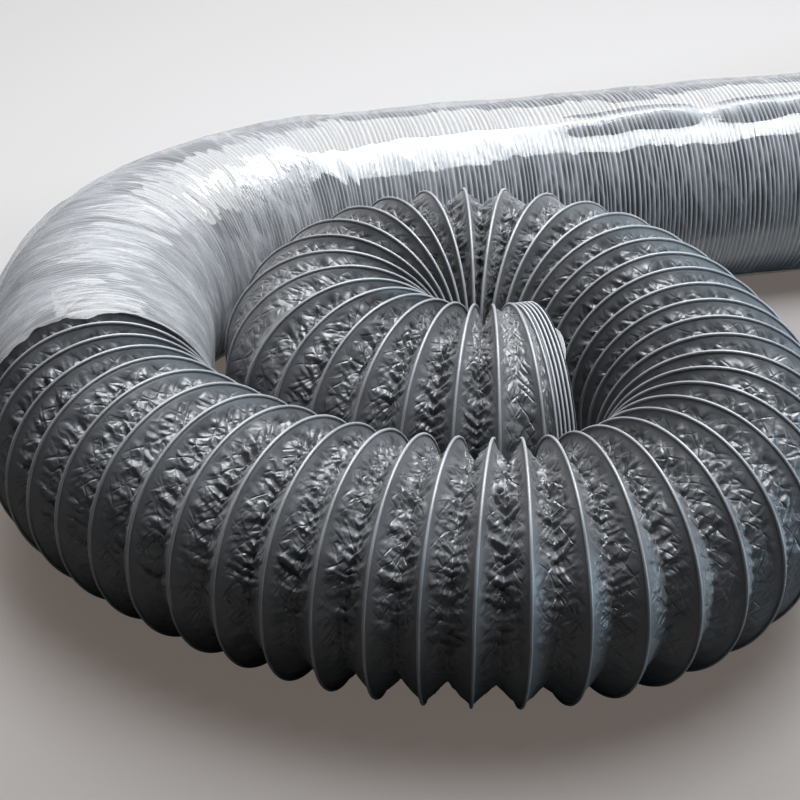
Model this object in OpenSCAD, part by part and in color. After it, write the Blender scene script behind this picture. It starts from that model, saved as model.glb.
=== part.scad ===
// Flexible air duct: a coated fabric wall folded over one continuous spring wire,
// laid in a flat coil, with the far part still pressed together in a clear film sleeve.
// Units are millimetres. The origin is the centre of the open mouth and +X leaves the mouth.

/* [Duct] */
// Clear bore of the duct
bore_d = 150; // [148:1:152]
// Diameter of the spring wire
wire_d = 1.4; // [1.2:0.1:1.6]
// Thickness of the coated fabric wall
wall_t = 0.5; // [0.4:0.05:0.6]
// Play between the wire and the fabric folded over it
wire_play = 0.1; // [0.05:0.05:0.15]
// Greatest depth of the folds between the turns of the open run
fold_depth = 10; // [7:0.5:11]
// Greatest depth of the folds in the packed run
packed_depth = 3; // [2:0.5:4]

/* [Mouth and tail] */
// Wire pitch in the closed stacks at the mouth and at the tail
stack_pitch = 3.5; // [3.4:0.1:3.7]
// Thickness of the folded-in hems that line the mouth and the tail
hem_t = 0.4; // [0.3:0.05:0.5]

/* [Film] */
// Thickness of the clear film sleeve
film_t = 0.2; // [0.15:0.05:0.3]
// Space between the packed folds and the film
film_play = 0.4; // [0.3:0.05:0.5]

/* [Hidden] */
$fn = 96;
// Columns of facets round half a turn of the folded wall
cols = 12;
// Rise of a fold's side for each millimetre along the duct
fold_slope = 0.75;
lean = sqrt(1 + fold_slope * fold_slope);
// Size of the laid coil against a duct of 150 mm bore
k = bore_d / 150;
// Wire centre line, and the inside and outside of a ridge measured from it
wire_r = bore_d / 2 + hem_t + wire_play + wire_d / 2;
ridge_in = (wire_d / 2 + wire_play) * lean;
ridge_out = ridge_in + wall_t * lean;
facet = cos(90 / cols);
open_r = (wire_r + ridge_out) / facet;
// The packed run is drawn in so that its film ends level with the open run's ridges
packed_in = film_t + film_play + 0.3;
film_in = (wire_r - packed_in + ridge_out) / facet + film_play;
// The laid coil from the mouth: [turns of wire, pitch at the axis, bend radius at the axis]
lay = [
    [4, stack_pitch / k, 0],
    [2, 16.5, 106],
    [5, 18.5, 96],
    [5, 24.5, 95],
    [4, 21.5, 95],
    [4, 25, 111],
    [7, 24.5, 358],
    [5, 23, 147],
    [5.5, 21.5, 136],
    [5.5, 23.5, 250],
    [5, 26, 346],
    [4, 19.5, 161],
    [7, 18.5, 610],
    [9, 17.2, 195],
    [8, 16.25, 250],
    [22, 18.4, 0],
    [4, stack_pitch / k, 0]
];

function turns_before(i) = i == 0 ? 0 : lay[i - 1][0] + turns_before(i - 1);
first_turn = [for (i = [0 : len(lay)]) turns_before(i)];
open_end = first_turn[12];
pack_end = first_turn[16];
mouth_len = lay[0][0] * stack_pitch;
// Inside radius of the outer ply over a stack, and the rise of its ridges
stack_r = wire_r + wire_d / 2 + wire_play;
stack_rise = 0.7;
// The first fold stands this much further out where it starts, clear of the wire in it
lead_lift = 3.5 * wire_play;

// Plan position [x, y, heading] after a length u of a stretch with bend radius b
function walk(s, u, b) = b == 0
    ? [s[0] + u * cos(s[2]), s[1] + u * sin(s[2]), s[2]]
    : let (h = s[2] - u / b * 180 / PI)
      [s[0] - b * (sin(h) - sin(s[2])), s[1] + b * (cos(h) - cos(s[2])), h];
function starts(i = 0, s = [0, 0, 180]) = i == len(lay) ? [s]
    : concat([s], starts(i + 1, walk(s, lay[i][0] * lay[i][1] * k, lay[i][2] * k)));
start_at = starts();

// Plan position at turn number n
function at(n) =
    let (i = max([for (j = [0 : len(lay) - 1]) if (first_turn[j] <= n || j == 0) j]))
    walk(start_at[i], (n - first_turn[i]) * lay[i][1] * k, lay[i][2] * k);

// The wire passes the duct's side every half turn, on the left first
function side(j) =
    let (
        n = 0.25 + j / 2,
        s = at(n),
        r = (j % 2 == 0 ? -1 : 1) * (n < open_end || n > pack_end ? wire_r : wire_r - packed_in)
    )
    [s[0] + r * sin(s[2]), s[1] - r * cos(s[2])];
sides = [for (j = [0 : 2 * first_turn[17]]) side(j)];

// Point of the spiral in column c, moved outwards by e; facets stay outside the true circle
function spiral(c, e) =
    let (
        j = floor(c / cols),
        a = sides[j],
        b = sides[j + 1],
        m = (a + b) / 2,
        rho = norm(a - b) / 2,
        u = (a - b) / (2 * rho),
        psi = 180 * (c - j * cols) / cols,
        r = (rho + e) / facet,
        up = j % 2 == 0 ? -1 : 1
    )
    [m[0] + r * cos(psi) * u[0], m[1] + r * cos(psi) * u[1], up * r * sin(psi)];
// Bottom of the fold between column c and the same column one turn on
function valley(c, e, depth) =
    let (
        h = norm(spiral(c, 0) - spiral(c + 2 * cols, 0)) / 2,
        d = e - min(depth, fold_slope * h)
    )
    (spiral(c, d) + spiral(c + 2 * cols, d)) / 2;
// Flat ring of the same columns, square to the duct at turn number n
function flat_ring(n, c, r) =
    let (s = at(n), t = 180 * c / cols)
    [
        s[0] - r / facet * cos(t) * sin(s[2]),
        s[1] + r / facet * cos(t) * cos(s[2]),
        -r / facet * sin(t)
    ];

// Folded wall over half turns j0 to j1 of the spiral, closed to a flat ring at an end if asked
module wall(j0, j1, depth = fold_depth, flat_start = false, flat_end = false) {
    c0 = j0 * cols;
    n = (j1 - j0) * cols;
    w = 2 * cols;
    nr = n + w + 1;
    nv = n + 1;
    half = nr + nv;
    ring = 2 * half;
    flat_r = stack_r + (flat_start ? lead_lift : 0);
    points = concat(
        [for (c = [0 : nr - 1]) spiral(c0 + c, ridge_out)],
        [for (c = [0 : nv - 1]) valley(c0 + c, ridge_out, depth)],
        [for (c = [0 : nr - 1]) spiral(c0 + c, ridge_in)],
        [for (c = [0 : nv - 1]) valley(c0 + c, ridge_in, depth)],
        [for (c = [0 : w - 1]) flat_ring(first_turn[1], c0 + c, flat_r + wall_t)],
        [for (c = [0 : w - 1]) flat_ring(first_turn[1], c0 + c, flat_r)],
        [for (c = [0 : w - 1]) flat_ring(pack_end, c0 + n + c, flat_r + wall_t)],
        [for (c = [0 : w - 1]) flat_ring(pack_end, c0 + n + c, flat_r)]
    );
    skin = concat(
        [for (c = [0 : n - 1]) [c, nr + c, nr + c + 1, c + 1]],
        [for (c = [0 : n - 1]) [nr + c, c + w, c + w + 1, nr + c + 1]]
    );
    g = ring + 2 * w;
    rim = concat(
        flat_start
            ? concat(
                [for (c = [0 : w - 1]) [c, c + 1, ring + (c + 1) % w, ring + c]],
                [[ring, w, nr, 0]],
                [for (c = [0 : w - 1]) [half + c + 1, half + c, ring + w + c, ring + w + (c + 1) % w]],
                [[half + w, ring + w, half, half + nr]],
                [for (c = [0 : w - 1])
                    [ring + c, ring + (c + 1) % w, ring + w + (c + 1) % w, ring + w + c]]
            )
            : concat(
                [for (c = [0 : w - 1]) [c, c + 1, half + c + 1, half + c]],
                [[nr, 0, half, half + nr], [w, nr, half + nr, half + w]]
            ),
        flat_end
            ? concat(
                [for (c = [0 : w - 1]) [n + c + 1, n + c, g + c, g + (c + 1) % w]],
                [[g, n, nr + n, n + w]],
                [for (c = [0 : w - 1])
                    [half + n + c, half + n + c + 1, g + w + (c + 1) % w, g + w + c]],
                [[half + n, g + w, half + n + w, half + nr + n]],
                [for (c = [0 : w - 1]) [g + (c + 1) % w, g + c, g + w + c, g + w + (c + 1) % w]]
            )
            : concat(
                [for (c = [n : n + w - 1]) [c + 1, c, half + c, half + c + 1]],
                [[n, nr + n, half + nr + n, half + n], [nr + n, n + w, half + n + w, half + nr + n]]
            )
    );
    quads = concat(
        skin,
        [for (q = skin) [q[3] + half, q[2] + half, q[1] + half, q[0] + half]],
        rim
    );
    triangles = [for (q = quads) each [[q[0], q[1], q[2]], [q[0], q[2], q[3]]]];
    polyhedron(points = points, faces = triangles, convexity = 10);
}

// One length of spring wire: half turns j0 to j1 of the spiral, each meeting the next in a
// small round joint at the duct's side
module wire(j0, j1) {
    gap = asin(0.15 / wire_r);
    for (j = [j0 : j1 - 1]) {
        a = sides[j];
        b = sides[j + 1];
        d = a - b;
        translate([(a[0] + b[0]) / 2, (a[1] + b[1]) / 2, 0])
            rotate([0, 0, atan2(d[1], d[0])])
                rotate([j % 2 == 0 ? -90 : 90, 0, 0])
                    rotate([0, 0, gap])
                        rotate_extrude(angle = 180 - 2 * gap)
                            translate([norm(d) / 2, 0])
                                circle(d = wire_d, $fn = 16);
    }
    for (j = [j0 + 1 : j1 - 1]) {
        translate([sides[j][0], sides[j][1], 0]) sphere(d = wire_d + 0.1, $fn = 16);
    }
}

// Hem of fabric folded in at an open end, from the wire stack out to the end face
module hem() {
    rotate([0, 90, 0]) difference() {
        union() {
            cylinder(r = bore_d / 2 + hem_t, h = mouth_len);
            translate([0, 0, mouth_len - hem_t]) cylinder(r = stack_r + wall_t, h = hem_t);
        }
        translate([0, 0, -1]) cylinder(d = bore_d, h = mouth_len + 2);
    }
}

// Outer ply over the closed stack, with one ridge for each turn of wire
module stack_wall() {
    turns = lay[0][0];
    pitch = (mouth_len - hem_t) / turns;
    rotate([0, 90, 0]) rotate_extrude() polygon(concat(
        [[stack_r, 0], [stack_r + wall_t, 0]],
        [for (i = [0 : turns - 1]) each [
            [stack_r + wall_t, (i + 0.05) * pitch],
            [stack_r + wall_t + stack_rise, (i + 0.3) * pitch],
            [stack_r + wall_t + stack_rise, (i + 0.7) * pitch],
            [stack_r + wall_t, (i + 0.95) * pitch]
        ]],
        [[stack_r + wall_t, mouth_len - hem_t], [stack_r, mouth_len - hem_t]]
    ));
}

// Places a stack drawn towards +X at the mouth or at the tail
module at_mouth() {
    translate([-mouth_len, 0, 0]) children();
}
module at_tail() {
    s = at(pack_end);
    translate([s[0], s[1], 0]) rotate([0, 0, s[2]]) children();
}

// Film over one stretch i of the lay, between fractions f0 and f1 of its length
module film_run(i, f0, f1) {
    len_mm = lay[i][0] * lay[i][1] * k;
    b = lay[i][2] * k;
    s = walk(start_at[i], f0 * len_mm, b);
    if (b == 0) {
        translate([s[0], s[1], 0]) rotate([0, 0, s[2]]) rotate([0, 90, 0]) difference() {
            cylinder(r = film_in + film_t, h = (f1 - f0) * len_mm);
            translate([0, 0, -1]) cylinder(r = film_in, h = (f1 - f0) * len_mm + 2);
        }
    } else {
        sweep = (f1 - f0) * len_mm / b * 180 / PI;
        translate([s[0] + b * sin(s[2]), s[1] - b * cos(s[2]), 0])
            rotate([0, 0, s[2] + 90 - sweep])
                rotate_extrude(angle = sweep)
                    translate([b, 0])
                        difference() {
                            circle(r = film_in + film_t);
                            circle(r = film_in);
                        }
    }
}
module film() {
    film_run(12, 0.06, 1);
    film_run(13, 0, 1);
    film_run(14, 0, 1);
    film_run(15, 0, 0.97);
}

fabric = [0.17, 0.175, 0.185];
steel = [0.62, 0.63, 0.65];
clear = [0.9, 0.93, 0.95, 0.35];

// Both open ends
color(fabric) at_mouth() hem();  // mouth_hem
color(fabric) at_mouth() stack_wall();  // mouth_wall
color(fabric) at_tail() stack_wall();  // tail_wall
color(fabric) at_tail() hem();  // tail_hem

// Folded wall of the open run
color(fabric) wall(8, 10, flat_start = true);  // wall_lead
color(fabric) wall(10, 13);  // wall_collar
color(fabric) wall(13, 18);  // wall_neck
color(fabric) wall(18, 22);  // wall_loop_left
color(fabric) wall(22, 32);  // wall_loop_back
color(fabric) wall(32, 40);  // wall_back
color(fabric) wall(40, 48);  // wall_back_right
color(fabric) wall(48, 62);  // wall_right
color(fabric) wall(62, 67);  // wall_right_front
color(fabric) wall(67, 72);  // wall_front_right
color(fabric) wall(72, 84);  // wall_front
color(fabric) wall(84, 94);  // wall_front_left
color(fabric) wall(94, 104);  // wall_left_front
color(fabric) wall(104, 112);  // wall_left

// Folded wall of the packed run; each fold stands for about five of the real ones
color(fabric) wall(112, 126, packed_depth);  // pack_left
color(fabric) wall(126, 144, packed_depth);  // pack_bend
color(fabric) wall(144, 160, packed_depth);  // pack_back_left
color(fabric) wall(160, 180, packed_depth);  // pack_back
color(fabric) wall(180, 201, packed_depth, flat_end = true);  // pack_tail

// The spring wire, one spiral from the mouth to the tail
color(steel) wire(1, 7);  // wire_mouth
color(steel) wire(7, 10);  // wire_lead
color(steel) wire(10, 15);  // wire_collar
color(steel) wire(15, 18);  // wire_neck
color(steel) wire(18, 22);  // wire_loop_left
color(steel) wire(22, 32);  // wire_loop_back
color(steel) wire(32, 40);  // wire_back
color(steel) wire(40, 48);  // wire_back_right
color(steel) wire(48, 62);  // wire_right
color(steel) wire(62, 72);  // wire_front_right
color(steel) wire(72, 84);  // wire_front
color(steel) wire(84, 94);  // wire_front_left
color(steel) wire(94, 104);  // wire_left_front
color(steel) wire(104, 112);  // wire_left
color(steel) wire(112, 126);  // wire_pack_left
color(steel) wire(126, 144);  // wire_pack_bend
color(steel) wire(144, 160);  // wire_pack_back_left
color(steel) wire(160, 180);  // wire_pack_back
color(steel) wire(180, 203);  // wire_pack_tail
color(steel) wire(203, 210);  // wire_tail

color(clear) film();  // film_sleeve
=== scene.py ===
"""Dresses the flexible air duct: crumpled coated fabric, ridge beads, mouth stack, packed rings and film."""

import math

import bpy
import numpy as np
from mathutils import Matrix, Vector


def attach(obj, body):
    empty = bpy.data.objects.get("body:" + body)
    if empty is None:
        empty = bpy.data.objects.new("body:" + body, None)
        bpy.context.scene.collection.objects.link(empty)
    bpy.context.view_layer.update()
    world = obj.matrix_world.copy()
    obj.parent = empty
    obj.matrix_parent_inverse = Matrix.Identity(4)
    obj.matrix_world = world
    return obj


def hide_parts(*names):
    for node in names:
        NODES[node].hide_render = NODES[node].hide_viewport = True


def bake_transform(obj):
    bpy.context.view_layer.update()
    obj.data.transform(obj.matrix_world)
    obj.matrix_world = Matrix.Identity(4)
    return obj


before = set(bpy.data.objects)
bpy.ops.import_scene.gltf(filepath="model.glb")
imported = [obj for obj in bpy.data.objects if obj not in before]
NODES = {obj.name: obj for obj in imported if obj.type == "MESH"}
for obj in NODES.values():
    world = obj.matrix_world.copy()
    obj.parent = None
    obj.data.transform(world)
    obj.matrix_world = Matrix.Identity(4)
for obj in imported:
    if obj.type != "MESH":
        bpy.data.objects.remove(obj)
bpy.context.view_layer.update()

bl_info = {
    "name": "Flexible air duct",
    "version": (1, 0, 0),
    "blender": (4, 5, 0),
    "location": "View3D > Sidebar > Duct",
    "description": "Builds the fabric, film and stage of a flexible air duct",
    "category": "Add Mesh",
}

MM = 0.001
# The laid coil from the mouth: (turns of wire, pitch at the axis, bend radius at the axis), in millimetres
STACK_PITCH = 3.5
STACK_TURNS = 4
LAY = (
    (STACK_TURNS, STACK_PITCH, 0),
    (2, 16.5, 106),
    (5, 18.5, 96),
    (5, 24.5, 95),
    (4, 21.5, 95),
    (4, 25, 111),
    (7, 24.5, 358),
    (5, 23, 147),
    (5.5, 21.5, 136),
    (5.5, 23.5, 250),
    (5, 26, 346),
    (4, 19.5, 161),
    (7, 18.5, 610),
    (9, 17.2, 195),
    (8, 16.25, 250),
    (22, 18.4, 0),
    (STACK_TURNS, STACK_PITCH, 0),
)
# The entries of LAY that are packed: the first one and the one after the last
FIRST_PACKED, AFTER_PACKED = 12, 16
OPEN_END = 56
WIRE_R = 76.2
# How far the fabric and the middle of the bead lie outside the middle of the wire
FABRIC_OUT = 0.6
BEAD_OUT = 0.9
# Half turns by which the lead's first fold and bead reach back over the mouth's stack
LEAD_FOLD_BACK = 3
LEAD_BEAD_BACK = 1
CREASE_SEED = 100
TINY = 1e-9
# Name, first and last half turn of each length of open wall
OPEN_RUNS = (
    ("lead", 8, 10),
    ("collar", 10, 13),
    ("neck", 13, 18),
    ("loop_left", 18, 22),
    ("loop_back", 22, 32),
    ("back", 32, 40),
    ("back_right", 40, 48),
    ("right", 48, 62),
    ("right_front", 62, 67),
    ("front_right", 67, 72),
    ("front", 72, 84),
    ("front_left", 84, 94),
    ("left_front", 94, 104),
    ("left", 104, 112),
)
# One ring of a closed stack: place along it in pitches, radius, and how deep in the fold that is, which sets
# the painted highlight and painted shade of its colour
STACK_RING = (
    (-0.5, 75.3, 1.0),
    (-0.36, 75.7, 0.9),
    (-0.26, 76.9, 0.3),
    (-0.14, 77.55, 0.0),
    (0.0, 77.75, 0.0),
    (0.14, 77.55, 0.0),
    (0.26, 76.9, 0.3),
    (0.36, 75.7, 0.9),
)
# The stack's fabric stops this far short of its end, where the hem begins
STACK_SHORT = 0.5
# The rolled rim of a hem: distance back from the end of the stack, and radius
HEM_RIM = ((0.6, 75.2), (0.1, 75.5), (0.0, 76.1), (0.1, 76.9), (0.5, 77.3))
# The flap of cut fabric on the mouth's rim: its middle and span in degrees from +Y, its width and thickness
FLAP_AT = 113.0
FLAP_SPAN = 20.0
FLAP_WIDTH = 3.4
FLAP_THICK = 0.4
# Name, first and last half turn of each length of packed wall
PACK_RUNS = (
    ("pack_left", 112, 126),
    ("pack_bend", 126, 144),
    ("pack_back_left", 144, 160),
    ("pack_back", 160, 180),
    ("pack_tail", 180, 203),
)
# Bodies of the lengths of wall that don't ride on the coil; a pair is a length between two bodies, which is
# left unattached where it lies
BODY_OF = {"lead": ("mouth", "neck"), "collar": "neck", "neck": ("neck", "coil")}


class DuctLook(bpy.types.PropertyGroup):
    """Sizes and colours of the fabric."""

    fold_side: bpy.props.FloatProperty(
        name="Fold side", description="Length of fabric from a ridge to the bottom of its fold",
        default=0.0195, unit="LENGTH",
    )
    bead: bpy.props.FloatProperty(
        name="Ridge bead", description="Radius of the bead that the wire makes along a ridge",
        default=0.001, unit="LENGTH",
    )
    crumple: bpy.props.FloatProperty(
        name="Crumple", description="Height of the creases at the bottom of a fold",
        default=0.0042, unit="LENGTH",
    )
    fabric: bpy.props.FloatVectorProperty(
        name="Fabric", description="Colour of the coated fabric", default=(0.075, 0.077, 0.082),
        subtype="COLOR", size=3,
    )


class FilmLook(bpy.types.PropertyGroup):
    """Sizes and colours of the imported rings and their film."""

    pitch: bpy.props.FloatProperty(
        name="Packed pitch", description="Distance from ring to ring in the packed run",
        default=0.0036, unit="LENGTH",
    )
    loose: bpy.props.FloatProperty(
        name="Looseness", description="How far the film stands off the packed rings at its loosest",
        default=0.009, unit="LENGTH",
    )
    haze: bpy.props.FloatVectorProperty(
        name="Haze", description="Colour of the film where it is crinkled", default=(0.33, 0.335, 0.35),
        subtype="COLOR", size=3,
    )


class StageLook(bpy.types.PropertyGroup):
    """Colours and lights of the stage."""

    # the near and back floor colours paint the floor darker in front of the duct, as painted shade for the
    # light falling off towards the camera
    floor: bpy.props.FloatVectorProperty(
        name="Floor", description="Colour of the floor behind the duct", default=(0.265, 0.266, 0.27),
        subtype="COLOR", size=3,
    )
    near: bpy.props.FloatVectorProperty(
        name="Near floor", description="Colour of the floor in front of the duct",
        default=(0.094, 0.089, 0.085), subtype="COLOR", size=3,
    )
    overhead: bpy.props.FloatProperty(
        name="Overhead light", description="Power of the large light above", default=36.0, unit="POWER"
    )
    window: bpy.props.FloatProperty(
        name="Window light", description="Power of the small light above", default=100.0, unit="POWER"
    )
    side: bpy.props.FloatProperty(
        name="Side light", description="Power of the low light at the right", default=36.0, unit="POWER"
    )


# ---------------------------------------------------------------- path of the duct


def walk(start, u, bend):
    """Plan position after a length u, as arrays; bends turn clockwise."""
    x, y, h = start
    if bend == 0:
        return x + u * math.cos(h), y + u * math.sin(h), h + 0 * u
    h2 = h - u / bend
    return x - bend * (np.sin(h2) - math.sin(h)), y + bend * (np.cos(h2) - math.cos(h)), h2


STARTS = [(0.0, 0.0, math.pi)]
TURN_AT = [0.0]
for turns, pitch, bend in LAY:
    STARTS.append(tuple(float(v) for v in walk(STARTS[-1], turns * pitch, bend)))
    TURN_AT.append(TURN_AT[-1] + turns)


def at(n):
    """Plan x, y and heading at turn numbers n."""
    n = np.asarray(n, float)
    out = np.zeros((3,) + n.shape)
    which = np.clip(np.searchsorted(TURN_AT, n, side="right") - 1, 0, len(LAY) - 1)
    for i, (_, pitch, bend) in enumerate(LAY):
        m = which == i
        if m.any():
            out[:, m] = walk(STARTS[i], (n[m] - TURN_AT[i]) * pitch, bend)
    return out


def turn_of(half):
    """Turn number of the lay at half turns of the wire."""
    return 0.25 + half / 2


def sides(j):
    """Where the wire passes the duct's side, left on even j and right on odd j."""
    x, y, h = at(turn_of(j))
    r = WIRE_R * np.where(j % 2 == 0, -1, 1)
    return x + r * np.sin(h), y - r * np.cos(h)


def spiral(a, e):
    """Points of the wire at half turns a, moved outwards by e, and the outward directions."""
    j = np.floor(a).astype(int)
    ax, ay = sides(j)
    bx, by = sides(j + 1)
    rho = np.hypot(ax - bx, ay - by) / 2
    ux, uy = (ax - bx) / (2 * rho), (ay - by) / (2 * rho)
    psi = np.pi * (a - j)
    up = np.where(j % 2 == 0, -1.0, 1.0)
    out = np.stack([np.cos(psi) * ux, np.cos(psi) * uy, up * np.sin(psi)], -1)
    mid = np.stack([(ax + bx) / 2, (ay + by) / 2, 0 * ax], -1)
    return mid + (rho + e)[..., None] * out, out


def round_path(x, y, heading, radius, turn):
    """Points round a place on the duct's path, by radius and by angle from its left side downwards."""
    left = radius * np.cos(turn)
    return np.stack([x - left * np.sin(heading), y + left * np.cos(heading), -radius * np.sin(turn)], -1)


# ---------------------------------------------------------------- noise


def lattice(seed, ix, iy):
    """A repeatable random number from 0 to 1 for each lattice corner."""
    h = (ix * 374761393 + iy * 668265263 + seed * 362437) & 0xFFFFFFFF
    h = ((h ^ (h >> 13)) * 1274126177) & 0xFFFFFFFF
    return ((h ^ (h >> 16)) & 0xFFFFFF) / 0xFFFFFF


def noise(x, y, seed):
    """Smooth gradient noise from about -1 to 1."""
    ix, iy = np.floor(x).astype(np.int64), np.floor(y).astype(np.int64)
    fx, fy = x - ix, y - iy
    wx, wy = fx**3 * (fx * (fx * 6 - 15) + 10), fy**3 * (fy * (fy * 6 - 15) + 10)
    total = 0
    for dx in (0, 1):
        for dy in (0, 1):
            g = lattice(seed, ix + dx, iy + dy) * 2 * np.pi
            w = (wx if dx else 1 - wx) * (wy if dy else 1 - wy)
            total = total + w * (np.cos(g) * (fx - dx) + np.sin(g) * (fy - dy))
    return total * 1.6


def facets(x, y, seed):
    """Sharp creases between flat facets: a curve of the distance to the nearest of scattered points."""
    ix, iy = np.floor(x).astype(np.int64), np.floor(y).astype(np.int64)
    near = np.full(np.broadcast(x, y).shape, 9.0)
    for dx in (-1, 0, 1):
        for dy in (-1, 0, 1):
            cx = ix + dx + lattice(seed, ix + dx, iy + dy)
            cy = iy + dy + lattice(seed + 1, ix + dx, iy + dy)
            near = np.minimum(near, (x - cx) ** 2 + (y - cy) ** 2)
    near = np.sqrt(near)
    return near * near / (near + 0.12) - 0.35


def creases(x, y, seed):
    """Sharp ridges that wander through flat cloth, from about -0.6 to 1."""
    wx = x + 0.35 * noise(x * 1.3, y * 1.3, seed + 1)
    wy = y + 0.35 * noise(x * 1.3, y * 1.3, seed + 2)
    ridge = np.clip(1 - 3.2 * np.abs(noise(wx, wy, seed)), -0.6, 1)
    return ridge * (0.6 + 0.5 * noise(x / 2.3, y / 2.3, seed + 3))


def crumple(x, y, seed):
    """Crumpled sheet: facets in three sizes, warped a little."""
    wx = x + 0.45 * noise(x * 0.9, y * 0.9, seed + 7)
    wy = y + 0.45 * noise(x * 0.9, y * 0.9, seed + 11)
    large = facets(wx, wy, seed)
    middle = facets(wx * 2.1, wy * 1.9, seed + 2)
    small = facets(wx * 4.4, wy * 4.1, seed + 4)
    return large + 0.5 * middle + 0.2 * small


def puckers(arc, off, lean, spacing, seed):
    """Narrow tucks that run up both sides from the bottom of a fold; off is the distance from it."""
    u = arc / spacing + 0.9 * noise(arc / 31, 0 * arc + 0.4, seed) + lean * np.abs(off) / spacing
    u = u + 0.12 * noise(arc / 3.7, off / 5.0, seed + 1)
    i = np.floor(u).astype(np.int64)
    side = (off > 0).astype(np.int64)
    height = 0.2 + 1.3 * lattice(seed + 2, i, 0 * i) ** 1.4
    length = 4.0 + 12.0 * lattice(seed + 3, i, side) ** 1.3
    peak = 0.3 + 0.4 * lattice(seed + 4, i, 0 * i)
    f = u - i
    tuck = np.where(f < peak, f / peak, (1 - f) / (1 - peak))
    return height * (tuck - 0.45) * np.clip(1.1 - np.abs(off) / length, 0, 1)


# ---------------------------------------------------------------- meshes and materials


def grid_mesh(name, points, values, closed=False, cloth=None):
    """A smooth mesh over points[row, column], with a value and a place on the cloth for each vertex."""
    rows, cols = points.shape[:2]
    r, c = np.meshgrid(np.arange(rows - 1), np.arange(cols if closed else cols - 1), indexing="ij")
    c2 = (c + 1) % cols
    corners = [r * cols + c, r * cols + c2, (r + 1) * cols + c2, (r + 1) * cols + c]
    quads = np.stack(corners, -1).reshape(-1, 4)
    mesh = bpy.data.meshes.new(name)
    mesh.vertices.add(rows * cols)
    mesh.vertices.foreach_set("co", (points.reshape(-1, 3) * MM).astype(np.float32).ravel())
    mesh.loops.add(quads.size)
    mesh.loops.foreach_set("vertex_index", quads.astype(np.int32).ravel())
    mesh.polygons.add(len(quads))
    mesh.polygons.foreach_set("loop_start", np.arange(0, quads.size, 4, dtype=np.int32))
    mesh.polygons.foreach_set("loop_total", np.full(len(quads), 4, dtype=np.int32))
    mesh.polygons.foreach_set("use_smooth", np.ones(len(quads), dtype=bool))
    mesh.update(calc_edges=True)
    layer = mesh.attributes.new("fold", "FLOAT", "POINT")
    layer.data.foreach_set("value", np.broadcast_to(values, (rows, cols)).astype(np.float32).ravel())
    if cloth is not None:
        uv = mesh.uv_layers.new(name="cloth")
        flat = cloth.reshape(-1, 2)[quads.ravel()]
        uv.data.foreach_set("uv", flat.astype(np.float32).ravel())
    obj = bpy.data.objects.new(name, mesh)
    bpy.context.scene.collection.objects.link(obj)
    return obj


def material(name):
    """An empty node material with its node tree and output."""
    mat = bpy.data.materials.new(name)
    mat.use_nodes = True
    tree = mat.node_tree
    tree.nodes.clear()
    out = tree.nodes.new("ShaderNodeOutputMaterial")
    return mat, tree, out


def add(tree, kind, inputs=None, **settings):
    """A node with its settings, and its inputs set to values or linked to sockets."""
    n = tree.nodes.new(kind)
    for key, value in settings.items():
        setattr(n, key, value)
    for key, value in (inputs or {}).items():
        if isinstance(value, bpy.types.NodeSocket):
            tree.links.new(value, n.inputs[key])
        else:
            n.inputs[key].default_value = value
    return n


def calc(tree, operation, *values, clamp=False):
    """The result of a sum over values and sockets."""
    inputs = dict(enumerate(values))
    return add(tree, "ShaderNodeMath", inputs, operation=operation, use_clamp=clamp).outputs[0]


def scaled(colour, factor):
    """A colour made lighter or darker."""
    return tuple(factor * c for c in colour)


def ramp(tree, fac, stops):
    """A colour ramp over fac with (position, grey or colour) stops."""
    n = add(tree, "ShaderNodeValToRGB", {0: fac})
    while len(n.color_ramp.elements) < len(stops):
        n.color_ramp.elements.new(0.5)
    for e, (pos, col) in zip(n.color_ramp.elements, stops):
        e.position = pos
        e.color = (*col, 1) if isinstance(col, tuple) else (col, col, col, 1)
    return n.outputs[0]


def cell_height(tree, vector, scale, warp):
    """Facets with sharp creases between them."""
    place = add(tree, "ShaderNodeMapping", {"Vector": vector, "Scale": scale}).outputs[0]
    wave = add(tree, "ShaderNodeTexNoise", {"Vector": place, "Scale": 0.7, "Detail": 1.0}).outputs["Color"]
    push = add(tree, "ShaderNodeVectorMath", {0: wave, 1: (warp, warp, 0.0)}, operation="MULTIPLY").outputs[0]
    moved = add(tree, "ShaderNodeVectorMath", {0: place, 1: push}, operation="ADD").outputs[0]
    cells = add(tree, "ShaderNodeTexVoronoi", {"Vector": moved, "Scale": 1.0}, voronoi_dimensions="2D")
    return cells.outputs["Distance"]


def folds(tree, cloth, angle, length, width, seed, sharp):
    """Thin straight folds at an angle across the cloth, from 0 between them to 1 on them."""
    turned = add(
        tree, "ShaderNodeMapping", {"Vector": cloth, "Rotation": (0.0, 0.0, angle)}, vector_type="POINT"
    ).outputs[0]
    shrink = (1 / length, 1 / width, 1.0)
    place = add(tree, "ShaderNodeMapping", {"Vector": turned, "Scale": shrink}).outputs[0]
    wave = {"Vector": place, "W": seed, "Scale": 1.0, "Detail": 1.0, "Distortion": 0.2}
    fac = add(tree, "ShaderNodeTexNoise", wave, noise_dimensions="4D").outputs["Fac"]
    off = calc(tree, "SUBTRACT", fac, 0.5)
    size = calc(tree, "ABSOLUTE", off)
    return calc(tree, "MULTIPLY_ADD", size, -sharp, 1.0, clamp=True)


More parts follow.
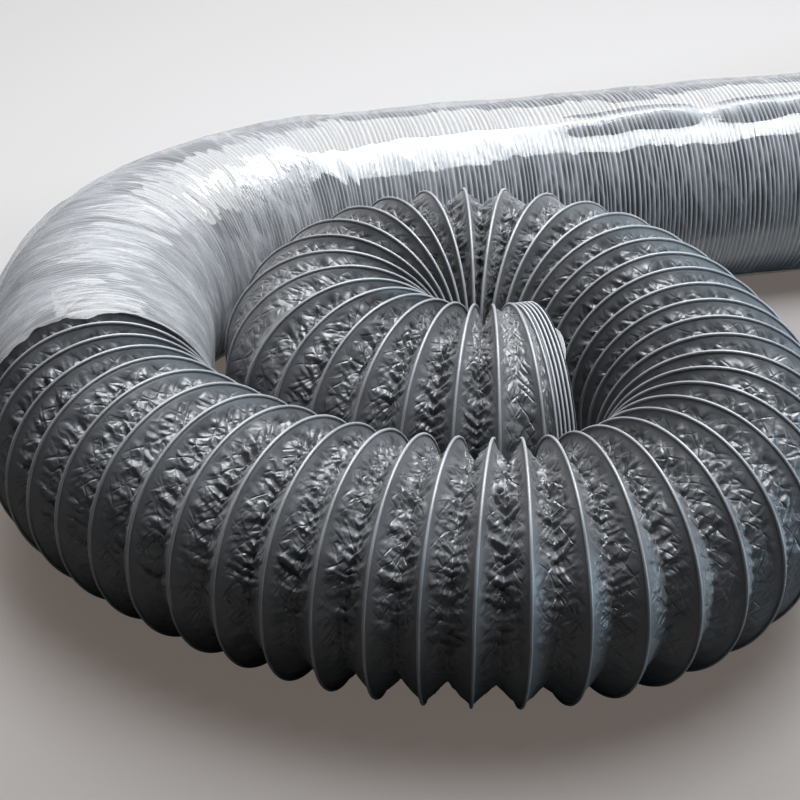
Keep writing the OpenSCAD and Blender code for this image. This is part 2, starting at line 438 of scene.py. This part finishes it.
def fabric_material(name, colour, bead=False):
    """Coated fabric: a dull sheen, fine puckers at the bottom of the folds and smooth by the wires."""
    mat, tree, out = material(name)
    pos = add(tree, "ShaderNodeNewGeometry").outputs["Position"]
    fold = add(tree, "ShaderNodeAttribute", attribute_name="fold").outputs["Fac"]
    blotch = add(tree, "ShaderNodeTexNoise", {"Vector": pos, "Scale": 30.0, "Detail": 5.0}).outputs["Fac"]
    tint = ramp(tree, blotch, ((0.3, scaled(colour, 0.8)), (0.7, scaled(colour, 1.25))))
    rough = ramp(tree, blotch, ((0.3, 0.4), (0.7, 0.54)))
    cloth = add(tree, "ShaderNodeUVMap", uv_map="cloth").outputs[0]
    cells = cell_height(tree, cloth, (120.0, 80.0, 1.0), 0.9)
    left = folds(tree, cloth, 0.65, 0.03, 0.009, 2.0, 13.0)
    right = folds(tree, cloth, -0.7, 0.026, 0.0085, 5.0, 13.0)
    crossed = calc(tree, "MAXIMUM", left, right)
    height = calc(tree, "MULTIPLY_ADD", crossed, 0.6, cells)
    level = add(tree, "ShaderNodeSeparateXYZ", {0: pos}).outputs["Z"]
    upper = add(tree, "ShaderNodeMapRange", {0: level, 1: -0.045, 2: 0.035, 3: 0.15, 4: 1.0}).outputs[0]
    deep = ramp(tree, fold, ((0.12, 0.0), (0.5, 1.0)))
    deep = calc(tree, "MULTIPLY", deep, upper)
    amount = calc(tree, "MULTIPLY", height, deep)
    strength = 0.02 if bead else 0.8
    bump = add(tree, "ShaderNodeBump", {"Height": amount, "Strength": strength, "Distance": 0.0017})
    shade = add(
        tree, "ShaderNodeBsdfPrincipled",
        {"Base Color": tint, "Roughness": 0.45 if bead else rough, "Normal": bump.outputs[0],
         "Specular IOR Level": 1.0, "Sheen Weight": 0.1, "Sheen Roughness": 0.4},
    )
    tree.links.new(shade.outputs[0], out.inputs[0])
    return mat


def ride_run(obj, run):
    """Rides a length of wall on its body; a length between two bodies is only baked where it lies."""
    body = BODY_OF.get(run, "coil")
    if isinstance(body, str):
        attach(obj, body)
        return
    first, last = next((a, b) for name, a, b in OPEN_RUNS if name == run)
    # the lead's span starts at the end of the mouth's stack
    lo = STACK_TURNS if run == "lead" else turn_of(first) + 1
    ends = [at(np.array(n)) for n in (lo, turn_of(last))]
    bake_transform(obj)


def coarse(full):
    return full


def fold_band(a0, a1, look, seed):
    """Folded fabric over half turns a0 to a1: points, depth in the fold, and place on the cloth."""
    rows = coarse(32)
    # the upper halves of the turns get more columns than the lower ones
    steps = [coarse(262) if j % 2 else coarse(168) for j in range(a0, a1)]
    a = np.concatenate([j + np.arange(n) / n for j, n in zip(range(a0, a1), steps)] + [[a1 - TINY]])
    p0, out0 = spiral(a, np.full(a.shape, FABRIC_OUT))
    p1, out1 = spiral(a + 2, np.full(a.shape, FABRIC_OUT))
    half = np.linalg.norm(p1 - p0, axis=-1) / 2
    side = look.fold_side / MM
    depth = np.sqrt(np.maximum(side**2 - half**2, (0.3 * side) ** 2))
    # the first folds beside the mouth's stack are drawn almost flat
    depth = depth * np.clip((a - 6.2) / 4.0, 0.06, 1)
    along = (p1 - p0) / (2 * half)[:, None]
    # more rows near the bottom of the fold
    t = np.linspace(-1, 1, rows)[:, None]
    v = 0.5 + 0.5 * (0.72 * t + 0.28 * t**3)
    arc = (a * np.pi * WIRE_R)[None, :] + 0 * v
    # the bottom of the fold wanders and zigzags to either side
    edge = 1 - (2 * v - 1) ** 2
    zigzag = np.abs(2 * ((arc / 13.0 + 0.8 * noise(arc / 17, 0 * arc + 1.3, seed + 6)) % 1) - 1) - 0.5
    wander = 0.08 * noise(arc / 26, 0 * arc + 3.3, seed + 5) + 0.07 * zigzag
    vv = v + wander * edge
    deep = 1 - np.abs(2 * vv - 1) ** 1.06
    off = (2 * vv - 1) * side
    across = vv * 2 * side
    room = np.clip((half - 0.8) / 9.0, 0.06, 1.0)[None, :]
    free = np.clip((side - 3.2 - np.abs(off)) / 6.5, 0, 1)
    free = free * free * (3 - 2 * free)
    slack = np.clip((depth / half - 0.3) / 0.75, 0.16, 1.0)[None, :]
    big = crumple(arc / 21.0, across / 23.0, seed)
    fine = crumple((arc + 0.5 * np.abs(off)) / 8.0, off / 12.0 + 9.0, seed + 20)
    sharp = creases((arc + 0.6 * np.abs(off)) / 12.0, across / 27.0, seed + 60)
    small = creases((arc - 0.4 * np.abs(off)) / 5.5, across / 12.0, seed + 70)
    tucks = puckers(arc, off, 0.5, 8.6, seed + 40)
    low = np.clip(0.5 + (p0[:, 2] + 25) / 90, 0.5, 1)[None, :]
    scale = look.crumple / MM * slack * room * low
    rough = 0.7 * big + 0.12 * fine + 0.42 * sharp + 0.16 * small
    lift = scale * (free * rough + 0.8 * tucks * np.clip(free * 2, 0, 1))
    steep = np.tanh(3.2 * (1 - 2 * vv))
    n_out = half[None, :] / side
    n_along = depth[None, :] / side * steep
    n_len = np.sqrt(n_out**2 + n_along**2)
    out = out0[None] * (1 - vv[..., None]) + out1[None] * vv[..., None]
    pts = p0[None] * (1 - vv[..., None]) + p1[None] * vv[..., None]
    inward = depth[None, :] * deep - lift * n_out / n_len
    shift = lift * n_along / n_len
    pts = pts - np.maximum(inward, -0.3)[..., None] * out + shift[..., None] * along[None]
    return pts, np.clip(deep, 0, 1), np.stack([arc * MM, across * MM], -1)


def tube(path, outs, alongs, radius, sides_n):
    """Points round a path, one row for each side."""
    t = np.linspace(0, 2 * np.pi, sides_n, endpoint=False)[:, None, None]
    return path[None] + radius * (np.cos(t) * outs[None] + np.sin(t) * alongs[None])


def bead_points(a0, a1, radius):
    """The round bead that the wire makes along a ridge."""
    per_turn = coarse(180)
    a = np.linspace(a0, a1, int((a1 - a0) / 2 * per_turn) + 1)
    a[-1] -= TINY
    p, out = spiral(a, np.full(a.shape, BEAD_OUT))
    t = np.gradient(p, axis=0)
    t /= np.linalg.norm(t, axis=-1)[:, None]
    along = np.cross(t, out)
    return tube(p, out, along, radius, 8)


# ---------------------------------------------------------------- operators


class DUCT_OT_open_run(bpy.types.Operator):
    """Builds the crumpled fabric and the ridge beads of the open run."""

    bl_idname = "duct.open_run"
    bl_label = "Open run"

    def execute(self, context):
        look = context.scene.duct_look
        cloth = fabric_material("coated_fabric", tuple(look.fabric))
        # the beads are coloured 2.6 times lighter than the fabric, a painted highlight along each ridge
        edge = fabric_material("ridge_fabric", scaled(look.fabric, 2.6), bead=True)
        for run, a0, a1 in OPEN_RUNS:
            # the first fold starts at the last turn of the mouth's stack
            fold_back, bead_back = (LEAD_FOLD_BACK, LEAD_BEAD_BACK) if run == "lead" else (0, 0)
            pts, deep, place = fold_band(a0 - fold_back, a1, look, CREASE_SEED)
            wall = grid_mesh("fabric_" + run, pts, deep, cloth=place)
            wall.data.materials.append(cloth)
            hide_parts("wall_" + run)
            ride_run(wall, run)
            bead = bead_points(a0 - bead_back, a1, look.bead / MM)
            ridge = grid_mesh("ridge_" + run, bead.transpose(1, 0, 2), 0.0, closed=True)
            ridge.data.materials.append(edge)
            if "wire_" + run in NODES:
                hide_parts("wire_" + run)
            ride_run(ridge, run)
        return {"FINISHED"}


def end_frame(start, heading, along, radius, turn):
    """Points at a length along, a radius and an angle round the open end of a stack."""
    x, y = start
    u, v, w = along, radius * np.cos(turn), radius * np.sin(turn)
    cosine, sine = math.cos(heading), math.sin(heading)
    return np.stack([x + u * cosine - v * sine, y + u * sine + v * cosine, w + 0 * u], -1)


def end_stack(name, start, heading, body, nodes, hem, cloth, lining):
    """A closed stack of wire turns under the fabric, and the hem that lines it."""
    length = STACK_TURNS * STACK_PITCH
    turn = np.linspace(0, 2 * np.pi, 300, endpoint=False)[None, :]
    pitch = (length - STACK_SHORT) / (STACK_TURNS + 1)
    rings = [((i + 0.5 + f) * pitch, r, d) for i in range(STACK_TURNS + 1) for f, r, d in STACK_RING]
    rings = np.array(rings + [(length - STACK_SHORT, 75.3, 0.6)])
    wave = 0.3 * noise(2.2 * np.cos(turn), 2.2 * np.sin(turn), 5) * (rings[:, :1] / length)
    lean = 0.12 * noise(turn * 3.1, 0 * turn + rings[:, :1] / 2.6, 6)
    pts = end_frame(start, heading, rings[:, :1] + wave, rings[:, 1:2] + lean, turn)
    stack = grid_mesh(name + "_stack", pts, rings[:, 2:3] + 0 * turn, closed=True)
    stack.data.materials.append(cloth)
    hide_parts(*nodes)
    # at the tail the lining reaches under the last packed rings
    inner_end = -4.0 if body == "coil" else 0.2
    inside = ((inner_end, 75.12), (4.0, 75.1), (8.0, 75.1), (12.0, 75.12))
    edge = np.array([*inside, *((length - back, radius) for back, radius in HEM_RIM)])
    pucker = 0.12 * noise(turn * 16, 0 * turn + edge[:, :1] / 5, 8) * np.linspace(0.4, 1, len(edge))[:, None]
    along = edge[:, :1] + wave[:1] * edge[:, :1] / length
    pts = end_frame(start, heading, along, edge[:, 1:2] + np.maximum(pucker, -0.1), turn)
    place = np.stack([turn * 75 + 0 * edge[:, :1], edge[:, :1] + 0 * turn], -1) * MM
    inner = grid_mesh(name + "_lining", pts, 0.3, closed=True, cloth=place)
    inner.data.materials.append(lining)
    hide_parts(hem)
    for obj in (stack, inner):
        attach(obj, body)


class DUCT_OT_ends(bpy.types.Operator):
    """Builds the closed stacks of rings at the mouth and the tail, their linings and the mouth's cut flap."""

    bl_idname = "duct.ends"
    bl_label = "Mouth and tail"

    def execute(self, context):
        look = context.scene.duct_look
        lining = bpy.data.materials["coated_fabric"]
        # the stacks take the packed colour, with a painted highlight on the crests and painted shade in the
        # folds
        cloth = painted_light_packed_material("stack_fabric", tuple(look.fabric))
        length = STACK_TURNS * STACK_PITCH
        start = (-length, 0.0)
        end_stack("mouth", start, 0.0, "mouth", ("mouth_wall", "wire_mouth"), "mouth_hem", cloth, lining)
        x, y, h = STARTS[-2]
        end_stack("tail", (x, y), h, "coil", ("tail_wall", "wire_tail"), "tail_hem", cloth, lining)
        # the fabric was cut a little long at one place on the mouth's rim
        t = np.linspace(0, 1, 25)[None, :]
        v = np.linspace(0, 1, 6)[:, None]
        wide = FLAP_WIDTH * np.sin(np.pi * t) ** 0.6 * (1 - 0.35 * t)
        turn = np.radians(FLAP_AT + FLAP_SPAN * (t - 0.5))
        radius = 77.3 + 0.9 * v * wide / FLAP_WIDTH + 0.1 * np.sin(9 * t)
        pts = end_frame((0.0, 0.0), 0.0, -0.6 + v * wide, radius, turn)
        flap = grid_mesh("mouth_flap", pts, 0.0)
        flap.data.materials.append(lining)
        thick = flap.modifiers.new("cloth", "SOLIDIFY")
        thick.thickness = FLAP_THICK * MM
        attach(flap, "mouth")
        return {"FINISHED"}


def pack_station(s):
    """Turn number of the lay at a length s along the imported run, and the whole length of the run."""
    knots = [0.0]
    turns_at = [float(OPEN_END)]
    for turns, pitch, _ in LAY[FIRST_PACKED:AFTER_PACKED]:
        knots.append(knots[-1] + turns * pitch)
        turns_at.append(turns_at[-1] + turns)
    return np.interp(s, knots, turns_at), knots[-1]


def pack_length(n):
    """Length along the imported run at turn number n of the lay."""
    total = 0.0
    for i in range(FIRST_PACKED, AFTER_PACKED):
        total += min(max(n - TURN_AT[i], 0), LAY[i][0]) * LAY[i][1]
    return total


# One packed fold from bead to bead: place along it in pitches, and change of radius
PACKED_FOLD = ((0.0, 0.0), (0.14, -0.25), (0.28, -2.0), (0.5, -3.6), (0.72, -2.0), (0.86, -0.25), (1.0, 0.0))
PACKED_DEPTH = 3.6
PACKED_R = 76.4
# Places where the imported folds have come apart, with deeper painted shade in the gaps: length along the run,
# side of the duct (radians) and how far
OPENED = (
    (96.0, 1.45 * math.pi, 7.0),
    (118.0, 1.3 * math.pi, 5.0),
    (150.0, 1.5 * math.pi, 6.0),
    (196.0, 1.35 * math.pi, 9.0),
    (214.0, 1.45 * math.pi, 5.0),
    (262.0, 1.55 * math.pi, 8.0),
)


class DUCT_OT_packed_run(bpy.types.Operator):
    """Builds the tightly packed rings under the film."""

    bl_idname = "duct.packed_run"
    bl_label = "Packed run"

    def execute(self, context):
        look = context.scene.film_look
        # the packed colour has a painted highlight on the crests and painted shade in the folds
        cloth = painted_light_packed_material("packed_fabric", tuple(context.scene.duct_look.fabric))
        pitch = look.pitch / MM
        total = pack_station(0.0)[1]
        first = 0.6 * LAY[FIRST_PACKED][1]
        count = int((total - first) / pitch)
        per_turn = coarse(220)
        cuts = [pack_length(turn_of(last)) for _, _, last in PACK_RUNS[:-1]]
        starts = [0] + [int((cut - first) / pitch) for cut in cuts] + [count]
        for part, (run, _, _) in enumerate(PACK_RUNS):
            n0, n1 = starts[part], starts[part + 1]
            turn = np.linspace(n0, n1, (n1 - n0) * per_turn + 1)
            phi = 2 * np.pi * (turn % 1)
            rows = []
            deep = []
            for v, dr in PACKED_FOLD:
                n = turn + v
                bunch = 0.4 * noise(n / 3.1, n * 0 + 0.2, 3) + 0.9 * noise(n / 11.0, n * 0 + 0.7, 4)
                s = first + (n + bunch * np.minimum(1, n / 5)) * pitch
                wide = 0 * s
                for place, side, opened in OPENED:
                    window = np.clip(1.3 - np.abs((phi - side + np.pi) % (2 * np.pi) - np.pi) / 0.75, 0, 1)
                    step = np.tanh((s - place) / 2.6)
                    s = s + opened / 2 * step * window * np.exp(-np.abs(s - place) / 40)
                    wide = wide + (1 - step**2) * window * opened
                where, _ = pack_station(np.clip(s, 0, total))
                x, y, h = at(where)
                lump = 0.5 * noise(n / 6.0, phi / 1.3, 9)
                r = PACKED_R + dr * (1 + 0.28 * wide) + lump
                rows.append(round_path(x, y, h, r, phi))
                # how deep in the fold, which the packed colour turns into painted shade; it reaches further
                # where the folds have come apart
                deep.append(np.clip(-dr / PACKED_DEPTH * (1 + 0.1 * wide), 0, 1.6))
            obj = grid_mesh("packed_rings_%d" % (part + 1), np.array(rows), np.array(deep))
            obj.data.materials.append(cloth)
            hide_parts(run, "wire_" + run)
            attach(obj, "coil")
        return {"FINISHED"}


def painted_light_packed_material(name, colour):
    """Coated fabric pressed into thin folds, with a painted highlight on the beads and painted shade between
    them.
    """
    mat, tree, out = material(name)
    pos = add(tree, "ShaderNodeNewGeometry").outputs["Position"]
    fold = add(tree, "ShaderNodeAttribute", attribute_name="fold").outputs["Fac"]
    blotch = add(tree, "ShaderNodeTexNoise", {"Vector": pos, "Scale": 40.0, "Detail": 4.0}).outputs["Fac"]
    level = calc(tree, "MULTIPLY_ADD", blotch, 0.3, fold)
    # the colour runs from 5.2 times the fabric on the crests, a painted highlight, to 0.35 times at the bottom
    # of the folds, painted shade
    stops = [(place, scaled(colour, factor)) for place, factor in ((0.1, 5.2), (0.4, 2.4), (0.8, 0.35))]
    tint = ramp(tree, level, stops)
    rough = ramp(tree, blotch, ((0.3, 0.42), (0.7, 0.6)))
    finish = {"Base Color": tint, "Roughness": rough, "Specular IOR Level": 0.5}
    shade = add(tree, "ShaderNodeBsdfPrincipled", finish)
    tree.links.new(shade.outputs[0], out.inputs[0])
    return mat


def film_material(name, haze):
    """Clear film: see-through and glossy where it is tight, milky where it is crumpled."""
    mat, tree, out = material(name)
    cloth = add(tree, "ShaderNodeUVMap", uv_map="cloth").outputs[0]
    milky = add(tree, "ShaderNodeAttribute", attribute_name="fold").outputs["Fac"]
    long_a = folds(tree, cloth, 1.25, 0.16, 0.022, 1.0, 26.0)
    long_b = folds(tree, cloth, 1.85, 0.16, 0.02, 4.0, 26.0)
    short = folds(tree, cloth, 1.45, 0.05, 0.016, 7.0, 12.0)
    fine = folds(tree, cloth, 0.9, 0.014, 0.006, 9.0, 7.0)
    long = calc(tree, "MAXIMUM", long_a, long_b)
    crumpled = ramp(tree, milky, ((0.3, 0.0), (0.75, 1.0)))
    short = calc(tree, "MULTIPLY", short, crumpled)
    fine = calc(tree, "MULTIPLY", fine, crumpled)
    height = calc(tree, "MULTIPLY_ADD", fine, 0.35, short)
    bump = add(tree, "ShaderNodeBump", {"Height": height, "Strength": 0.22, "Distance": 0.002})
    white = calc(tree, "MULTIPLY_ADD", short, 0.5, milky)
    white = calc(tree, "MULTIPLY_ADD", long, 0.4, white)
    milk = calc(tree, "MULTIPLY", white, 0.5, clamp=True)
    clear = add(tree, "ShaderNodeBsdfTransparent", {"Color": (0.97, 0.98, 0.99, 1)})
    soft = ramp(tree, crumpled, ((0.0, 0.07), (1.0, 0.3)))
    gloss = add(tree, "ShaderNodeBsdfGlossy", {"Roughness": soft, "Normal": bump.outputs[0]})
    facing = add(tree, "ShaderNodeFresnel", {"IOR": 1.45, "Normal": bump.outputs[0]}).outputs[0]
    strong = ramp(tree, crumpled, ((0.0, 1.25), (1.0, 0.2)))
    layers = calc(tree, "MULTIPLY", facing, strong)
    layers = calc(tree, "MINIMUM", layers, 0.25)
    shine = add(tree, "ShaderNodeMixShader", {0: layers, 1: clear.outputs[0], 2: gloss.outputs[0]})
    white = add(tree, "ShaderNodeBsdfDiffuse", {"Color": (*haze, 1), "Normal": bump.outputs[0]})
    full = add(tree, "ShaderNodeMixShader", {0: milk, 1: shine.outputs[0], 2: white.outputs[0]})
    tree.links.new(full.outputs[0], out.inputs[0])
    return mat


# The film: its radius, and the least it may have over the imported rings
FILM_R = 77.9
FILM_LEAST_R = 77.5
# Where the film gets tight and where its seam stands up: start along the run, and the length it takes
TIGHT_FROM, TIGHT_OVER = 330, 260
SEAM_FROM, SEAM_OVER = 480, 160
SEAM_AT = 1.36 * math.pi
SEAM_HEIGHT = 7.5


class DUCT_OT_film(bpy.types.Operator):
    """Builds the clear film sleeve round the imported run."""

    bl_idname = "duct.film"
    bl_label = "Film sleeve"

    def execute(self, context):
        look = context.scene.film_look
        total = pack_station(0.0)[1]
        rows = coarse(480)
        cols = coarse(200)
        phi = np.linspace(0, 2 * np.pi, cols, endpoint=False)[None, :]
        arc = phi * 78
        # the cut edge of the film is ragged
        edge = -5 + 5 * noise(arc / 26, 0 * arc + 0.6, 31) + 2.5 * noise(arc / 8, 0 * arc + 0.6, 33)
        s = edge + (total - 8 - edge) * np.linspace(0, 1, rows)[:, None]
        where = np.where(s < 0, OPEN_END + s / LAY[FIRST_PACKED - 1][1], pack_station(np.maximum(s, 0))[0])
        x, y, h = at(where + 0 * phi)
        # crumpled near the open folds, tight along the straight run
        tight = np.clip((s - TIGHT_FROM) / TIGHT_OVER, 0, 1) ** 0.7
        slow = noise(s / 75, arc / 48, 21) + 0.5 * noise(s / 33, arc / 26, 22)
        creased = crumple((s + 0.3 * arc) / 30, (arc - 0.2 * s) / 70, 23)
        small = crumple(s / 10, arc / 34, 27)
        top = np.clip(0.45 - np.sin(phi), 0.05, 1.3)
        start = np.clip((s - edge) / 25, 0.15, 1)
        lift = (1 - 0.55 * tight) * (0.6 + 0.4 * slow + 0.8 * np.maximum(creased, 0)) + 0.25 * tight * slow
        r = FILM_R + start * (0.25 * look.loose / MM * top * lift + 0.35 * (1 - tight) * small)
        # a loose seam stands up along the back of the straight run
        seam = np.exp(-(((phi - SEAM_AT - 0.05 * noise(s / 60, 0 * s, 41)) / 0.1) ** 2))
        raised = np.clip((s - SEAM_FROM) / SEAM_OVER, 0, 1)
        r = r + SEAM_HEIGHT * seam * raised * (0.7 + 0.5 * noise(s / 33, 0 * s + 0.5, 43))
        # it stands out more above than at the sides, and never sinks into the rings
        r = np.minimum(np.maximum(r, FILM_LEAST_R), 78.4 + 9 * np.clip(-np.sin(phi), 0, 1))
        pts = round_path(x, y, h, r, phi)
        patch = 0.5 + 0.5 * noise(s / 40, arc / 55, 51)
        milk = (1 - tight) * (0.2 + 0.6 * patch) + tight * 0.08 + 0 * phi
        milk = np.clip(milk + 0.7 * seam * raised, 0, 1)
        place = np.stack([s + 0 * phi, arc + 0 * s], -1) * MM
        film = grid_mesh("film", pts, milk, closed=True, cloth=place)
        film.data.materials.append(film_material("clear_film", tuple(look.haze)))
        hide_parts("film_sleeve")
        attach(film, "coil")
        return {"FINISHED"}


# Camera: where it stands in the shared frame, which way it looks, and its lens and sensor
CAMERA_AT = (-0.39137, -1.30440, 0.73513)
CAMERA_HEADING = math.radians(77.202)
CAMERA_DOWN = math.radians(27.909)
LENS_MM = 108.14
SENSOR_MM = 36
FLOOR_Z = -0.0787
FLOOR_SIZE = 30
# Light that the floor adds for the camera alone, the backdrop's brightness, and the light from all round
FLOOR_GLOW = 0.125
BACKDROP = 0.72
AMBIENT = 0.015
# Lamps: name, place, the point that it faces, size and colour; the stage's look holds their powers
LAMPS = (
    ("overhead", (0.3, 1.1, 1.2), (0.3, 1.1, 0), (2.2, 2.4), (1, 0.985, 0.96)),
    ("window", (0.45, 0.2, 1.9), (0.05, 0.1, 0), (1.5, 1.5), (0.9, 0.95, 1)),
    ("side", (2.7, -1.0, 0.15), (0, -0.1, 0), (1.2, 0.4), (0.55, 0.82, 1)),
)


class DUCT_OT_stage(bpy.types.Operator):
    """Builds the floor, the lamps, the backdrop and the camera."""

    bl_idname = "duct.stage"
    bl_label = "Stage"

    def execute(self, context):
        look = context.scene.stage_look
        scene = context.scene
        bpy.ops.mesh.primitive_plane_add(size=FLOOR_SIZE, location=(0, 4, FLOOR_Z))
        floor = context.object
        floor.name = "floor"
        mat, tree, out = material("floor")
        place = add(tree, "ShaderNodeNewGeometry").outputs["Position"]
        axes = add(tree, "ShaderNodeSeparateXYZ", {0: place}).outputs
        # the floor colour goes from the near colour in front to the floor colour at the back, painted shade
        # for the light falling off towards the camera
        depth = calc(tree, "MULTIPLY_ADD", axes["X"], -0.3, axes["Y"])
        away = add(tree, "ShaderNodeMapRange", {0: depth, 1: -0.45, 2: 0.75}).outputs[0]
        front, middle = scaled(look.near, 0.88), scaled(look.near, 1.3)
        floor_painted_falloff = ramp(tree, away, ((0.0, front), (0.42, middle), (1.0, tuple(look.floor))))
        finish = {"Base Color": floor_painted_falloff, "Roughness": 0.4, "Specular IOR Level": 0.3}
        shade = add(tree, "ShaderNodeBsdfPrincipled", finish)
        seen = add(tree, "ShaderNodeLightPath").outputs["Is Camera Ray"]
        lift = calc(tree, "MULTIPLY", seen, FLOOR_GLOW)
        glow = add(tree, "ShaderNodeEmission", {"Color": (1, 0.84, 0.75, 1), "Strength": lift})
        both = add(tree, "ShaderNodeAddShader", {0: shade.outputs[0], 1: glow.outputs[0]})
        tree.links.new(both.outputs[0], out.inputs[0])
        floor.data.materials.append(mat)
        for name, where, target, size, colour in LAMPS:
            data = bpy.data.lights.new(name, "AREA")
            data.shape = "RECTANGLE"
            data.energy, data.color = getattr(look, name), colour
            data.size, data.size_y = size
            lamp = bpy.data.objects.new(name, data)
            lamp.location = where
            lamp.rotation_euler = (Vector(target) - Vector(where)).to_track_quat("-Z", "Y").to_euler()
            scene.collection.objects.link(lamp)
        world = bpy.data.worlds.new("studio")
        world.use_nodes = True
        tree = world.node_tree
        light = add(tree, "ShaderNodeLightPath")
        view = add(tree, "ShaderNodeTexCoord").outputs["Generated"]
        depth = add(tree, "ShaderNodeSeparateXYZ", {0: view}).outputs["Y"]
        behind = ramp(tree, depth, ((0.05, 0.0), (0.5, 0.55)))
        gloss = calc(tree, "MULTIPLY", light.outputs["Is Glossy Ray"], behind)
        shown = calc(tree, "MULTIPLY_ADD", light.outputs["Is Camera Ray"], BACKDROP, gloss)
        level = calc(tree, "ADD", shown, AMBIENT)
        sky = tree.nodes["Background"]
        sky.inputs["Color"].default_value = (1, 0.98, 0.96, 1)
        tree.links.new(level, sky.inputs["Strength"])
        scene.world = world
        cam = bpy.data.cameras.new("camera")
        cam.lens = LENS_MM
        cam.sensor_width = SENSOR_MM
        obj = bpy.data.objects.new("camera", cam)
        obj.location = CAMERA_AT
        obj.rotation_euler = (math.pi / 2 - CAMERA_DOWN, 0, CAMERA_HEADING - math.pi / 2)
        scene.collection.objects.link(obj)
        scene.camera = obj
        scene.view_settings.view_transform = "Standard"
        return {"FINISHED"}


class DUCT_PT_panel(bpy.types.Panel):
    """Lists the steps that build the duct."""

    bl_idname = "DUCT_PT_panel"
    bl_label = "Flexible duct"
    bl_space_type = "VIEW_3D"
    bl_region_type = "UI"
    bl_category = "Duct"

    def draw(self, context):
        for group in ("duct_look", "film_look", "stage_look"):
            props = getattr(context.scene, group)
            for key in props.__annotations__:
                self.layout.prop(props, key)
        for step in STEPS:
            self.layout.operator(step.bl_idname)


STEPS = (DUCT_OT_open_run, DUCT_OT_ends, DUCT_OT_packed_run, DUCT_OT_film, DUCT_OT_stage)
GROUPS = {"duct_look": DuctLook, "film_look": FilmLook, "stage_look": StageLook}


def register():
    for cls in (*GROUPS.values(), *STEPS, DUCT_PT_panel):
        bpy.utils.register_class(cls)
    for name, cls in GROUPS.items():
        setattr(bpy.types.Scene, name, bpy.props.PointerProperty(type=cls))


def unregister():
    for name in GROUPS:
        delattr(bpy.types.Scene, name)
    for cls in (DUCT_PT_panel, *reversed(STEPS), *reversed(GROUPS.values())):
        bpy.utils.unregister_class(cls)


def main():
    register()
    for step in STEPS:
        group, name = step.bl_idname.split(".")
        getattr(getattr(bpy.ops, group), name)()


if __name__ == "__main__":
    main()
